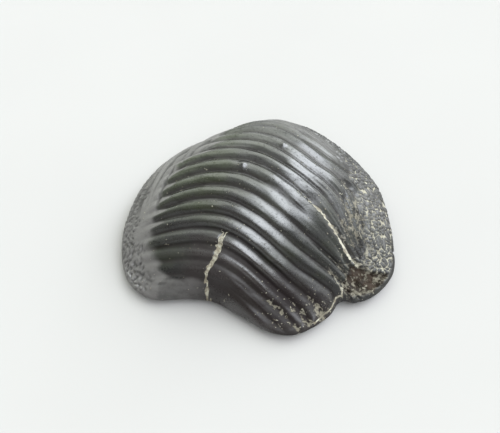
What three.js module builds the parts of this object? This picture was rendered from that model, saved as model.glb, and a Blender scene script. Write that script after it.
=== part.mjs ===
// A fossil crushing tooth: one grown piece, so one closed solid. Units are millimetres, +Z is up.
// X runs along the chewing ridges, +Y is the back of the tooth, and it lies on the flat base of its root.
import * as THREE from "three";

// ---- driving dimensions ------------------------------------------------------------------------
const DOME_TOP = [-2.0, 6.5];        // plan place of the crown's highest point
const DOME_HEIGHT = 12.5;            // highest point over the foot of the dome
const DOME_FOOT = 2.3;               // height of the dome's foot over the resting face
const RIM_HEIGHT = 1.4;              // height of the crown's lower edge over the resting face
// Reach of the dome from its top: a mean and three harmonics, each a cosine and a sine amplitude.
const REACH = 18.7;
const REACH_WAVES = [[1.85, -3.7], [0.63, 1.57], [0.45, -0.94]];
// Fullness of the dome's side: under 1 is full and steep at the foot, over 1 flares out.
const FULLNESS = 1.0;
const FULLNESS_RIGHT = 0.3;          // flares more towards +X
const FULLNESS_BACK = -0.3;          // stays fuller towards +Y

// The crown's rim in plan, counter-clockwise from the right, as a closed smooth curve.
const RIM = [
  [20.4, 2.1], [19.2, 6.9], [17.3, 11.2], [14.2, 16.2], [9.0, 20.0], [2.5, 21.9], [-4.5, 21.2],
  [-11.2, 17.3], [-16.6, 11.6], [-20.0, 5.4], [-20.4, -1.2], [-19.2, -7.2], [-15.8, -12.4],
  [-11.6, -13.9], [-6.1, -12.0], [-2.6, -11.3], [1.2, -12.0], [6.6, -13.0], [10.0, -12.1],
  [13.4, -8.1], [14.6, -4.9], [16.4, -4.5], [18.9, -2.2],
];

// Chewing ridges: ridge 0 crosses the middle line at FIRST_RIDGE, and the pitch grows to the back.
const FIRST_RIDGE = -3.97;
const PITCH = 1.81;
const PITCH_GROWTH = 0.056;
const GROOVE_DEPTH = 0.5;
const CREST_SHARPNESS = 2.6;         // 2 is a plain parabola, more gives broad crests, narrow grooves
const RIDGES_FRONT = -9.9;           // ridge coordinate of the first and last row of the ridged patch
const RIDGES_BACK = 15.2;
const RIDGE_START = [-16.2, -13.6];  // X where the ridges rise out of the smooth left band
const BARE_FRONT = [-9.6, -8.4];     // ridge coordinate where the smooth front band ends
const BARE_BACK = [12.8, 15.4];      // ridge coordinate where the ridges sink into the back belt

// Margin: the lumpy belt inside the rim, gone at the front and widest at the back.
const BELT = 4.4;
const BELT_BACK = 1.8;               // extra width at the very back
const LUMP_HEIGHT = 0.32;
const LUMPS_ROUND = 44;              // lumps in one turn round the rim
const LUMP_LENGTH = 2.1;

// The smooth swelling that closes a groove on the right flank, and the small bridge over another.
const SWELLING = { at: [8.9, 0.4], half: [3.6, 1.25], turn: -0.3 };
const BRIDGE = { at: [-3.8, 3.6], half: [0.7, 0.9], turn: 0 };

// Front right corner: the enamel has broken away along a line, and the core lies lower.
const BREAK_FROM = [14.5, -5.1];
const BREAK_TO = [16.9, 0.1];
const BREAK_DEPTH = 0.9;

// Root: two lobes under the crown, set in from the rim, with a flat base.
const ROOT_MIDDLE = [-0.3, 3.6];
const ROOT_HALF = [14.0, 11.6];      // half of its length and half of its depth
const ROOT_WAIST = 0.2;              // share by which it draws in between its lobes
const ROOT_TOP = 1.3;
const ROOT_FLARE = 0.5;              // how much wider the root is where it meets the crown
const ROOT_BEVEL = 0.35;
const UNDERCUT_INSET = 0.9;          // the crown's lower edge is rounded in under the rim
const UNDERCUT_DROP = 0.35;

// ---- helpers -----------------------------------------------------------------------------------
const smooth = (from, to, v) => THREE.MathUtils.smoothstep(v, from, to);

const rimCurve = new THREE.CatmullRomCurve3(
  RIM.map(([x, y]) => new THREE.Vector3(x, y, 0)), true, "centripetal");
const rimSamples = rimCurve.getPoints(720).slice(0, 720).map((p) => {
  const dx = p.x - DOME_TOP[0];
  const dy = p.y - DOME_TOP[1];
  return { angle: Math.atan2(dy, dx), radius: Math.hypot(dx, dy) };
}).sort((a, b) => a.angle - b.angle);

/** Distance from the dome's top to the rim in the direction `angle`. */
function rimRadius(angle) {
  const n = rimSamples.length;
  let low = 0;
  let high = n;
  while (low < high) {
    const middle = (low + high) >> 1;
    if (rimSamples[middle].angle < angle) low = middle + 1;
    else high = middle;
  }
  const before = rimSamples[(low + n - 1) % n];
  const after = rimSamples[low % n];
  const turn = 2 * Math.PI;
  const span = (after.angle - before.angle + turn) % turn;
  const part = ((angle - before.angle + turn) % turn) / Math.max(span, 1e-9);
  return before.radius + (after.radius - before.radius) * Math.min(part, 1);
}

/** Plan point to polar place round the dome's top, with its distance inside the rim. */
function polar(x, y) {
  const angle = Math.atan2(y - DOME_TOP[1], x - DOME_TOP[0]);
  const radius = Math.hypot(x - DOME_TOP[0], y - DOME_TOP[1]);
  return { angle, radius, inside: rimRadius(angle) - radius };
}

/** Height of the plain dome at a polar place. */
function domeHeight(angle, radius) {
  const reach = REACH_WAVES.reduce((sum, [c, s], i) => (
    sum + c * Math.cos((i + 1) * angle) + s * Math.sin((i + 1) * angle)), REACH);
  const share = Math.min(radius / reach, 1);
  const fullness = FULLNESS + FULLNESS_RIGHT * Math.cos(angle) + FULLNESS_BACK * Math.sin(angle);
  return DOME_FOOT + DOME_HEIGHT * (1 - share * share) ** fullness;
}

/** How far a ridge falls towards the front at x, and how ridges spread there. */
const fall = (x) => 0.11 * x + 0.0045 * x ** 2 + 6.8e-5 * x ** 4 - 0.0234 * Math.max(0, x - 6) ** 2;
const spread = (x) => 1 - 8.0e-4 * x ** 2 + 4.3e-6 * x ** 4 + 0.0031 * Math.max(0, x - 6) ** 2;
const ridgeCoordinate = (x, y) => y * spread(x) + fall(x);
const ridgeY = (x, coordinate) => (coordinate - fall(x)) / spread(x);

/** Ridge number at a ridge coordinate: whole on crests, half-way in grooves. */
function ridgeNumber(coordinate) {
  const root = PITCH ** 2 + 2 * PITCH_GROWTH * (coordinate - FIRST_RIDGE);
  return (Math.sqrt(root) - PITCH) / PITCH_GROWTH;
}
const coordinateOf = (number) => FIRST_RIDGE + PITCH * number + 0.5 * PITCH_GROWTH * number ** 2;

/** 1 at the middle of an oval patch, 0 outside it. */
function patch({ at, half, turn }, x, y) {
  const u = ((x - at[0]) * Math.cos(turn) + (y - at[1]) * Math.sin(turn)) / half[0];
  const v = (-(x - at[0]) * Math.sin(turn) + (y - at[1]) * Math.cos(turn)) / half[1];
  return Math.exp(-(u ** 4) - v ** 4);
}

/** Width of the lumpy belt inside the rim. */
const beltWidth = (angle) => (
  BELT * smooth(-1.0, -0.2, Math.sin(angle)) + BELT_BACK * smooth(0.4, 1.0, Math.sin(angle)));

/** Relief of the ridges, lumps and break over the plain dome. */
function relief(x, y, place) {
  const coordinate = ridgeCoordinate(x, y);
  const number = ridgeNumber(coordinate);
  const phase = Math.abs(2 * (number - Math.round(number)));
  const belt = beltWidth(place.angle);
  const ridged = smooth(...RIDGE_START, x) * smooth(...BARE_FRONT, coordinate)
    * (1 - smooth(...BARE_BACK, coordinate)) * smooth(0.6 * belt, 1.15 * belt + 0.3, place.inside)
    * (1 - patch(SWELLING, x, y)) * (1 - patch(BRIDGE, x, y));
  const grooves = -GROOVE_DEPTH * phase ** CREST_SHARPNESS * ridged;

  const inBelt = smooth(0.2, 0.8, place.inside) * (1 - smooth(0.7 * belt, belt + 0.2, place.inside));
  const lumps = LUMP_HEIGHT * inBelt * Math.cos(LUMPS_ROUND * place.angle)
    * Math.cos(2 * Math.PI * place.inside / LUMP_LENGTH);

  const length = Math.hypot(BREAK_TO[0] - BREAK_FROM[0], BREAK_TO[1] - BREAK_FROM[1]);
  const along = [(BREAK_TO[0] - BREAK_FROM[0]) / length, (BREAK_TO[1] - BREAK_FROM[1]) / length];
  const past = (x - BREAK_FROM[0]) * along[1] - (y - BREAK_FROM[1]) * along[0];
  const down = (x - BREAK_FROM[0]) * along[0] + (y - BREAK_FROM[1]) * along[1];
  const broken = smooth(0, 0.5, past) * (1 - smooth(length - 0.6, length + 0.6, down));
  return grooves + lumps - BREAK_DEPTH * broken;
}

/** Upper surface of the crown, rounded over at the rim. */
function crownTop(x, y) {
  const place = polar(x, y);
  const height = domeHeight(place.angle, place.radius) + relief(x, y, place);
  const lipWidth = 0.6 + 0.4 * (height - RIM_HEIGHT);
  const inLip = 1 - THREE.MathUtils.clamp(place.inside / lipWidth, 0, 1);
  return RIM_HEIGHT + Math.max(height - RIM_HEIGHT, 0.4) * Math.sqrt(1 - inLip ** 2);
}

// ---- ridged patch: rows along crests and grooves, ending where the belt begins -------------------
const COLUMNS = 34;
const RIM_STEPS = [0.18, 0.36, 0.54, 0.7, 0.82, 0.91, 0.97, 1.0];
const EVENING_ROUNDS = 60;           // rounds of averaging that space the rim's points out
const patchInset = (angle) => Math.max(1.0, 0.75 * beltWidth(angle));

/** X at which a row leaves the ridged patch, going from the middle to the left or right. */
function rowEnd(coordinate, side) {
  const step = 0.05;
  let x = DOME_TOP[0] + 1.0;
  while (Math.abs(x) < 24) {
    const place = polar(x + side * step, ridgeY(x + side * step, coordinate));
    if (place.inside < patchInset(place.angle)) break;
    x += side * step;
  }
  return x;
}

const rowCoordinates = [];
for (let number = Math.ceil(ridgeNumber(RIDGES_FRONT)); coordinateOf(number) < RIDGES_BACK; number += 1) {
  for (const part of [0, 0.3, 0.5, 0.7]) rowCoordinates.push(coordinateOf(number + part));
}
rowCoordinates.unshift(RIDGES_FRONT);

const points = [];
const faces = [];
const addPoint = (x, y, z) => points.push([x, y, z]) - 1;
const spanOf = (a, b) => Math.hypot(...points[a].map((value, axis) => value - points[b][axis]));

/** Adds the quad a, b, c, d, cut along its shorter diagonal. */
function addQuad(a, b, c, d) {
  if (spanOf(a, c) < spanOf(b, d)) faces.push([a, b, c], [a, c, d]);
  else faces.push([a, b, d], [b, c, d]);
}

const rows = rowCoordinates.map((coordinate) => {
  const left = rowEnd(coordinate, -1);
  const right = rowEnd(coordinate, 1);
  return Array.from({ length: COLUMNS + 1 }, (_, i) => {
    const x = left + (right - left) * i / COLUMNS;
    const y = ridgeY(x, coordinate);
    return addPoint(x, y, crownTop(x, y));
  });
});
for (let j = 0; j + 1 < rows.length; j += 1) {
  for (let i = 0; i < COLUMNS; i += 1) {
    addQuad(rows[j][i], rows[j][i + 1], rows[j + 1][i + 1], rows[j + 1][i]);
  }
}

// The patch's border, counter-clockwise: front row, right ends, back row, left ends.
const lastRow = rows.length - 1;
const border = [
  ...rows[0],
  ...rows.slice(1, lastRow).map((row) => row[COLUMNS]),
  ...rows[lastRow].slice().reverse(),
  ...rows.slice(1, lastRow).map((row) => row[0]).reverse(),
];

/** Joins two closed loops of equal length with a band of quads. */
function joinLoops(inner, outer) {
  inner.forEach((a, i) => {
    const next = (i + 1) % inner.length;
    addQuad(a, outer[i], outer[next], inner[next]);
  });
}

// ---- belt: rings from the patch's border out to the rim ------------------------------------------
const borderPlaces = border.map((index) => polar(points[index][0], points[index][1]));
const count = border.length;
const turnOf = (i) => borderPlaces[(i + count) % count].angle;
const stepTurns = borderPlaces.map((_, i) => {
  const step = turnOf(i + 1) - turnOf(i);
  return step < -Math.PI ? step + 2 * Math.PI : step;
});
const borderAngles = stepTurns.map((_, i) => (
  turnOf(0) + stepTurns.slice(0, i).reduce((sum, step) => sum + step, 0)));
let rimAngles = borderAngles;
for (let round = 0; round < EVENING_ROUNDS; round += 1) {
  const before = (i) => (i > 0 ? rimAngles[i - 1] : rimAngles[count - 1] - 2 * Math.PI);
  const after = (i) => (i < count - 1 ? rimAngles[i + 1] : rimAngles[0] + 2 * Math.PI);
  rimAngles = rimAngles.map((angle, i) => (before(i) + angle + after(i)) / 3);
}
const wrapped = (angle) => Math.atan2(Math.sin(angle), Math.cos(angle));
const onRay = (angle, radius) => [
  DOME_TOP[0] + radius * Math.cos(angle), DOME_TOP[1] + radius * Math.sin(angle)];
let loop = border;
for (const share of RIM_STEPS) {
  const next = borderPlaces.map(({ inside }, i) => {
    const angle = wrapped(borderAngles[i] + (rimAngles[i] - borderAngles[i]) * share);
    const [x, y] = onRay(angle, rimRadius(angle) - inside * (1 - share));
    return addPoint(x, y, crownTop(x, y));
  });
  joinLoops(loop, next);
  loop = next;
}

// ---- underside and root: every second point is enough --------------------------------------------
const every = rimAngles.filter((_, i) => i % 2 === 0).map(wrapped);
const undercut = every.map((angle) => (
  addPoint(...onRay(angle, rimRadius(angle) - UNDERCUT_INSET), RIM_HEIGHT - UNDERCUT_DROP)));

/** One ring round the root, drawn in from its outline by `inset`, at height z. */
function rootRing(inset, z) {
  return every.map((angle) => {
    const waist = 1 - ROOT_WAIST * Math.sin(angle) ** 4;
    const x = ROOT_MIDDLE[0] + (ROOT_HALF[0] - inset) * Math.cos(angle);
    const y = ROOT_MIDDLE[1] + (ROOT_HALF[1] - inset) * waist * Math.sin(angle);
    return addPoint(x, y, z);
  });
}
undercut.forEach((a, i) => {
  const next = undercut[(i + 1) % undercut.length];
  const [first, middle, last] = [loop[2 * i], loop[2 * i + 1], loop[(2 * i + 2) % loop.length]];
  faces.push([first, a, middle], [middle, a, next], [middle, next, last]);
});
const neck = rootRing(-ROOT_FLARE, ROOT_TOP);
const wall = rootRing(0, ROOT_BEVEL);
const base = rootRing(ROOT_BEVEL, 0);
joinLoops(undercut, neck);
joinLoops(neck, wall);
joinLoops(wall, base);
const centre = addPoint(...ROOT_MIDDLE, 0);
base.forEach((a, i) => faces.push([a, centre, base[(i + 1) % base.length]]));

// ---- the finished piece, centred over the middle of its resting box -------------------------------
const geometry = new THREE.BufferGeometry();
geometry.setAttribute("position", new THREE.Float32BufferAttribute(points.flat(), 3));
geometry.setIndex(faces.flat());
geometry.computeBoundingBox();
const middle = geometry.boundingBox.getCenter(new THREE.Vector3());
geometry.translate(-middle.x, -middle.y, 0);
geometry.computeVertexNormals();

const enamel = new THREE.MeshStandardMaterial({ color: 0x26282a, roughness: 0.25, metalness: 0 });
const tooth = new THREE.Mesh(geometry, enamel);
tooth.name = "tooth";

const part = new THREE.Group();
part.add(tooth);
export default part;
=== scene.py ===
# %% [markdown]
# # A fossil crushing tooth
#
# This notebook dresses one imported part: the low, domed tooth of a shark that crushed shells. It is a single
# grown piece, about 41 mm wide, with glossy black enamel folded into ridges on top, a lumpy belt round its
# margin, and a root underneath. Millimetres are used for thinking, and metres for everything Blender gets.

# %% Load the frame
import math

import bpy
import numpy as np
from mathutils import Matrix, Vector


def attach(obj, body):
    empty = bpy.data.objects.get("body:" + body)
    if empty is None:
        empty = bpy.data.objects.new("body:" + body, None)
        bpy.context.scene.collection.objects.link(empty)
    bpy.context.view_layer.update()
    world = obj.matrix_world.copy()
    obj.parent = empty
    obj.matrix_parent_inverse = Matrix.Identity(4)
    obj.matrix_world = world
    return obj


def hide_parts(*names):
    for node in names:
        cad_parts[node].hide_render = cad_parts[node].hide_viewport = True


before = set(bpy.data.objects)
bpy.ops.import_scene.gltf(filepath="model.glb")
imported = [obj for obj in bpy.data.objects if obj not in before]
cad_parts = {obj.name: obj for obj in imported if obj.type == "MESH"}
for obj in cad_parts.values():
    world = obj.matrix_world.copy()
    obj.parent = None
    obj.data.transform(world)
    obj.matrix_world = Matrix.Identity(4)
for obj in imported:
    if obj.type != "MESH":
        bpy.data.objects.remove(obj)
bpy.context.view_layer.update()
MM = 0.001

# %% [markdown]
# ## The camera
#
# A camera is easiest to place from what it sees: its heading round the object, how far it looks down, and how
# far away it stands. The lens then follows from how large the tooth should be in a 500 by 433 picture. The
# focus number below is the lens length counted in picture widths, so it doesn't depend on the sensor.

# %% Camera
PICTURE = (500, 433)
HEADING = math.radians(20.0)
LOOKING_DOWN = math.radians(57.0)
DISTANCE = 116.8  # mm from the point aimed at
FOCUS = 800 / PICTURE[0]
AIM = Vector((0.0, 0.0, 6.0))  # the point aimed at, and below it the pixel where it shows
AIM_PIXEL = (258.0, 228.0)
PLAN_MIDDLE = Vector((0.0, 4.0, 0.0))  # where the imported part's origin lies for the formulas below
SENSOR_WIDTH = 36.0

right = Vector((math.cos(HEADING), math.sin(HEADING), 0.0))
level = Vector((-math.sin(HEADING), math.cos(HEADING), 0.0))
ahead = level * math.cos(LOOKING_DOWN) - Vector((0.0, 0.0, math.sin(LOOKING_DOWN)))
up = right.cross(ahead)
per_pixel = DISTANCE / (FOCUS * PICTURE[0])
aside = (AIM_PIXEL[0] - PICTURE[0] / 2) * per_pixel
below = (AIM_PIXEL[1] - PICTURE[1] / 2) * per_pixel
eye = AIM - ahead * DISTANCE - right * aside + up * below - PLAN_MIDDLE

camera_data = bpy.data.cameras.new("camera")
camera_data.sensor_width = SENSOR_WIDTH
camera_data.lens = FOCUS * SENSOR_WIDTH
camera_data.clip_start = 0.005
camera_data.clip_end = 100.0
camera = bpy.data.objects.new("camera", camera_data)
turn = Matrix((right, up, -ahead)).transposed()
camera.matrix_world = Matrix.Translation(eye * MM) @ turn.to_4x4()
bpy.context.scene.collection.objects.link(camera)
bpy.context.scene.camera = camera
print("lens", round(camera_data.lens, 1), "mm, eye at", [round(v, 1) for v in eye])

# %% [markdown]
# ## Helpers for masks and gentle roughness
#
# Nothing that grows is quite regular. A sum of sine waves with random headings gives gentle unevenness, and
# the same sum drawn out in one direction gives threads and slits. It is a formula on whole arrays with a
# fixed seed, so every run is the same. A mask is a share from 0 to 1 that says where something happens.

# %% Masks and waves
FULL_TURN = 2 * math.pi


def smooth(low, high, value):
    """0 below low, 1 above high, and 3t² - 2t³ in between."""
    t = np.clip((value - low) / (high - low), 0, 1)
    return t * t * (3 - 2 * t)


def waves(x, y, length, seed, count=18):
    """Sum of `count` sines with random headings, phases and lengths near `length`.

    It is divided by the root of count / 2, so that its spread is about 1 for any count.
    """
    random = np.random.default_rng(seed)
    heading = random.uniform(0, FULL_TURN, count)
    size = length * random.uniform(0.7, 1.5, count)
    phase = random.uniform(0, FULL_TURN, count)
    total = np.zeros(np.broadcast(x, y).shape)
    for h, s, p in zip(heading, size, phase):
        total += np.sin(FULL_TURN * (x * math.cos(h) + y * math.sin(h)) / s + p)
    return total / math.sqrt(count / 2)


print("spread of the waves:", round(float(waves(np.arange(900.0), 0.0, 2.0, 1).std()), 2))

# %% [markdown]
# ## Helpers for granules and cracks
#
# Granules, splinters and pores are cells: seeds are scattered, one to each square, and a point belongs to the
# nearest. Where the nearest two are equally far away lies the joint between two granules. A crack is a chain
# of short straight stretches, and all that is needed of it is how far away it is.

# %% Cells and lines
CELL_ROWS = 97  # after so many squares the same seeds come again
SEED_MARGIN = 0.12  # a seed keeps this share of a square away from its edges
SEED_ROOM = 0.76
FAR = 9.0


def cells(u, v, seed, around=CELL_ROWS):
    """Distance to the nearest seed, how much further the next one is, and the nearest one's luck, 0 to 1."""
    table = np.random.default_rng(seed).random((around, CELL_ROWS, 3))
    nearest = np.full(u.shape, FAR)
    second = np.full(u.shape, FAR)
    luck = np.zeros(u.shape)
    for i in (-1, 0, 1):
        for j in (-1, 0, 1):
            column = np.floor(u) + i
            row = np.floor(v) + j
            drawn = table[column.astype(int) % around, row.astype(int) % CELL_ROWS]
            away_u = u - column - SEED_MARGIN - SEED_ROOM * drawn[..., 0]
            away_v = v - row - SEED_MARGIN - SEED_ROOM * drawn[..., 1]
            away = np.hypot(away_u, away_v)
            closer = away < nearest
            second = np.where(closer, nearest, np.minimum(second, away))
            luck = np.where(closer, drawn[..., 2], luck)
            nearest = np.where(closer, away, nearest)
    return nearest, second - nearest, luck


def near_line(x, y, line):
    """Distance to a chain of points (x, y, half width), less the half width. Negative is on the line."""
    gap = np.full(x.shape, FAR)
    for (x0, y0, w0), (x1, y1, w1) in zip(line, line[1:]):
        along = ((x - x0) * (x1 - x0) + (y - y0) * (y1 - y0)) / ((x1 - x0) ** 2 + (y1 - y0) ** 2)
        along = np.clip(along, 0, 1)
        away = np.hypot(x - x0 - along * (x1 - x0), y - y0 - along * (y1 - y0))
        gap = np.minimum(gap, away - w0 - along * (w1 - w0))
    return gap


print("cells repeat after", CELL_ROWS, "squares")

# %% [markdown]
# ## The outline
#
# Seen from above, the tooth is a rounded fan: full at the back, drawn in at the front left, and broken at
# the front right. A closed curve through a couple of dozen points holds that outline. It is kept as a
# radius for each direction from the top of the dome, so that any point can ask how far inside the rim it is.
# Slight bites at the back right and one notch at the right are taken off that radius afterwards.

# %% Outline
DOME_TOP = (-2.0, 6.5)
RIM = np.array([
    [20.4, 2.1], [19.2, 6.9], [17.3, 11.2], [14.2, 16.2], [9.0, 20.0], [2.5, 21.9], [-4.5, 21.2],
    [-11.2, 17.3], [-16.6, 11.6], [-20.0, 5.4], [-20.4, -1.2], [-19.2, -7.2], [-15.8, -12.4],
    [-11.6, -13.9], [-6.1, -12.0], [-2.6, -11.3], [1.2, -12.0], [6.6, -13.0], [10.0, -12.1],
    [13.4, -8.1], [14.6, -4.9], [16.4, -4.5], [18.9, -2.2],
])
RIM_STEPS = 40  # points worked out between two of the above
BITE_DEPTH = 0.13
NOTCH_DEPTH = 0.3
NOTCH_ANGLE = -0.05
NOTCH_HALF = 0.014


def closed_curve(points, steps):
    """Hermite cubic between neighbours; slopes weigh the chords by the square root of their length."""
    before, start, end, after = (np.roll(points, shift, axis=0) for shift in (1, 0, -1, -2))

    def root(a, b):
        return np.sqrt(np.linalg.norm(b - a, axis=1))[:, None]

    d0, d1, d2 = root(before, start), root(start, end), root(end, after)
    leave = d1 * ((start - before) / d0 - (end - before) / (d0 + d1) + (end - start) / d1)
    arrive = d1 * ((end - start) / d1 - (after - start) / (d1 + d2) + (after - end) / d2)
    t = (np.arange(steps) / steps)[None, :, None]
    line = ((2 * t**3 - 3 * t**2 + 1) * start[:, None] + (t**3 - 2 * t**2 + t) * leave[:, None]
            + (3 * t**2 - 2 * t**3) * end[:, None] + (t**3 - t**2) * arrive[:, None])
    return line.reshape(-1, 2)


rim_line = closed_curve(RIM, RIM_STEPS)
from_top = rim_line - DOME_TOP
rim_angle = np.arctan2(from_top[:, 1], from_top[:, 0])
rim_reach = np.hypot(from_top[:, 0], from_top[:, 1])
plan_shift = -(rim_line.min(0) + rim_line.max(0)) / 2


def rim_radius(angle):
    """Reach of the outline from the dome's top, read off the curve."""
    return np.interp(angle, rim_angle, rim_reach, period=FULL_TURN)


def rim_chips(angle):
    """What is missing from the rim: waves of bites at the back right, and a bell for the notch."""
    bites = 1 + waves(19 * np.cos(angle), 19 * np.sin(angle), 2.2, 5)
    at_bites = smooth(0.35, 0.75, np.sin(angle)) * smooth(-0.2, 0.3, np.cos(angle))
    notch = np.exp(-(((angle - NOTCH_ANGLE) / NOTCH_HALF) ** 2))
    return BITE_DEPTH * at_bites * bites + NOTCH_DEPTH * notch


print("outline in mm:", np.round(np.ptp(rim_line, axis=0), 2))

# %% [markdown]
# ## The plain dome
#
# Under the ridges the crown is a smooth dome, steeper at the back than at the right. It could be pulled into
# shape from a coarse cage, but a formula gives every point its height, so relief of any size can lie on it.
# It is a paraboloid whose reach changes with direction, raised to a power: under one keeps the side full,
# over one flares it out. Near the rim it turns over in a quarter ellipse, which makes the lip.

# %% Dome
DOME_HEIGHT = 12.5
DOME_FOOT = 2.3
RIM_HEIGHT = 1.4
REACH = 18.7
REACH_WAVES = ((1.85, -3.7), (0.63, 1.57), (0.45, -0.94))
LIP_WIDTH = 0.6
LIP_WIDENING = 0.4  # for each millimetre that the dome stands above the rim
LEAST_LIP = 0.4


def dome_height(angle, radius):
    """Foot + height · (1 - (radius / reach)²) ^ fullness, where reach and fullness change with direction."""
    reach = REACH
    for order, (c, s) in enumerate(REACH_WAVES, 1):
        reach = reach + c * np.cos(order * angle) + s * np.sin(order * angle)
    share = np.minimum(radius / reach, 1)
    fullness = 1.0 + 0.3 * np.cos(angle) - 0.3 * np.sin(angle)
    return DOME_FOOT + DOME_HEIGHT * (1 - share * share) ** fullness


def lip_height(height, inside):
    """Rim + height over it · sqrt(1 - t²), where t is 0 at the lip's inner edge and 1 at the rim."""
    width = LIP_WIDTH + LIP_WIDENING * (height - RIM_HEIGHT)
    in_lip = 1 - np.clip(inside / width, 0, 1)
    return RIM_HEIGHT + np.maximum(height - RIM_HEIGHT, LEAST_LIP) * np.sqrt(1 - in_lip**2)


print("dome top at", DOME_FOOT + DOME_HEIGHT, "mm")

# %% [markdown]
# ## The grid that carries the crown
#
# A dome made of rings and spokes has a pinched pole and wastes its faces there. A square grid pulled out into
# a disc has none: its square rings become round ones, and all its faces keep about the same size. The last
# rings turn in under the rim, so that the lip is whole from below, and then up inside, hidden by the root.

# %% Plain crown
CROWN_SIDE = 311  # points along each side of the grid
AT_RIM = 0.915  # share of the disc's radius at which the surface reaches the rim
CLOSE_IN = 0.98  # from here on it turns up inside
LIP_RINGS = 0.06  # how strongly rings gather at the lip
UNDERCUT_INSET = 0.9
UNDERCUT_DROP = 0.35
CLOSED_INSET = 0.7
CLOSED_RISE = 0.55
BACK_TRIM = 0.018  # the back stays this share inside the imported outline


def square_to_disc(side):
    """Radius is the larger of |a| and |b|; the angle is an eighth turn times the smaller over the larger."""
    steps = np.linspace(-1, 1, side)
    a, b = np.meshgrid(steps, steps, indexing="ij")
    wide = np.abs(a) > np.abs(b)
    radius = np.where(wide, a, b)
    safe = np.where(radius == 0, 1, radius)
    angle = np.where(wide, math.pi / 4 * b / safe, math.pi / 2 - math.pi / 4 * a / safe)
    return np.abs(radius), np.arctan2(radius * np.sin(angle), radius * np.cos(angle))


def normals_of(points):
    """Unit cross product of the grid's two directions."""
    across = np.cross(np.gradient(points, axis=0), np.gradient(points, axis=1))
    return across / np.maximum(np.linalg.norm(across, axis=-1, keepdims=True), 1e-12)


ring, angle = square_to_disc(CROWN_SIDE)
cosine, sine = np.cos(angle), np.sin(angle)
reach = rim_radius(angle)
to_rim = np.clip(1 - ring / AT_RIM, 0, 1)
inside = reach * (1 + LIP_RINGS) * to_rim**2 / (to_rim + LIP_RINGS)
under = np.clip((ring - AT_RIM) / (CLOSE_IN - AT_RIM), 0, 1)
closing = np.clip((ring - CLOSE_IN) / (1 - CLOSE_IN), 0, 1)
inset = UNDERCUT_INSET * (1 - np.cos(under * math.pi / 2)) + CLOSED_INSET * closing
radius = reach - inside - inset - rim_chips(angle) * smooth(1.2, 0, inside)
radius *= 1 - BACK_TRIM * smooth(0.5, 1, sine)
x = DOME_TOP[0] + radius * cosine
y = DOME_TOP[1] + radius * sine
z = lip_height(dome_height(angle, radius), inside)
z = z - UNDERCUT_DROP * np.sin(under * math.pi / 2) + CLOSED_RISE * closing**2
plain = np.stack([x, y, z], axis=-1)
outward = normals_of(plain)
print("crown points", ring.size, "cell about", round(2 * REACH / CROWN_SIDE, 2), "mm")

# %% [markdown]
# ## Counting the ridges
#
# The ridges run across the tooth and bend down towards both ends. They could be modelled one by one, but then
# nothing else could follow them. Instead one number tells where a point lies: it is whole on every crest and
# half-way in every groove, so any pattern along or across the ridges can be drawn from it. Their spacing
# isn't regular, so the crests are listed by their distance from the middle, and a little noise moves them.

# %% Ridge number
CRESTS = (-11.3, -9.7, -8.0, -6.2, -4.33, -2.5, -0.63, 1.37, 3.63, 5.93, 7.93, 9.85, 12.6, 15.0, 17.1, 19.3)
FRONT_CREST = -4  # the number of the first of them
BEND_SIZE = 0.305
BEND_LENGTH = 16.0
BEND_MIDDLE = -2.35
TURN_DOWN = (6.0, 14.0)  # along x, where the ridges turn down at the right


def ridge_coordinate(x, y):
    """The distance across the ridges: y, spread out towards the ends, less the ridges' own fall and bend."""
    past = (np.clip(x, *TURN_DOWN) - TURN_DOWN[0]) ** 2
    fall = 0.087 * x + 0.0064 * x**2 + 5.05e-5 * x**4 - 0.0047 * past
    bend = BEND_SIZE * np.cos(FULL_TURN * (x - BEND_MIDDLE) / BEND_LENGTH)
    spread = 1 - 5.5e-4 * x**2 + 4.1e-6 * x**4 + past * (0.0166 * np.exp(-((y / 7.9) ** 2)) - 0.0059)
    return y * spread + fall - bend


def ridge_number(coordinate):
    """Counts the crests, straight in between two of them."""
    return np.interp(coordinate, CRESTS, FRONT_CREST + np.arange(len(CRESTS)))


coordinate = ridge_coordinate(x, y)
wander = 0.04 * waves(0.25 * x, y, 3.8, 11) + 0.015 * waves(0.4 * x, y, 1.7, 12)
number = ridge_number(coordinate + wander)
across_ridge = 2 * (number - np.round(number))    # -1 and 1 in the grooves, 0 on the crest
off_crest = np.abs(across_ridge)
print("crests counted from", round(float(number.min()), 1), "to", round(float(number.max()), 1))

# %% [markdown]
# ## Where the ridges fade
#
# The ridges don't reach the rim. They sink into the belt, whose width changes round the tooth, into a smooth
# band at the left end and at the front, into a plain swelling on the right flank, and into a small scar that
# bridges one groove. Each of these is a mask, and what they leave is the share of a full ridge.

# %% Ridge masks
SWELLING = ((9.9, 3.6), (3.6, 0.8))  # at this x and ridge number, and its half sizes
SCAR = ((-3.8, 4.0), (0.75, 0.8))


def patch(x, y, at, half):
    """exp(-u⁴ - v⁴), with u and v counted in half sizes: 1 over an oval patch, 0 outside it."""
    u = (x - at[0]) / half[0]
    v = (y - at[1]) / half[1]
    return np.exp(-(u**4) - v**4)


def mound(x, y, at, half):
    """exp(-u² - v²), with u and v counted in half sizes: a round hill."""
    return np.exp(-(((x - at[0]) / half[0]) ** 2) - ((y - at[1]) / half[1]) ** 2)


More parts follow.
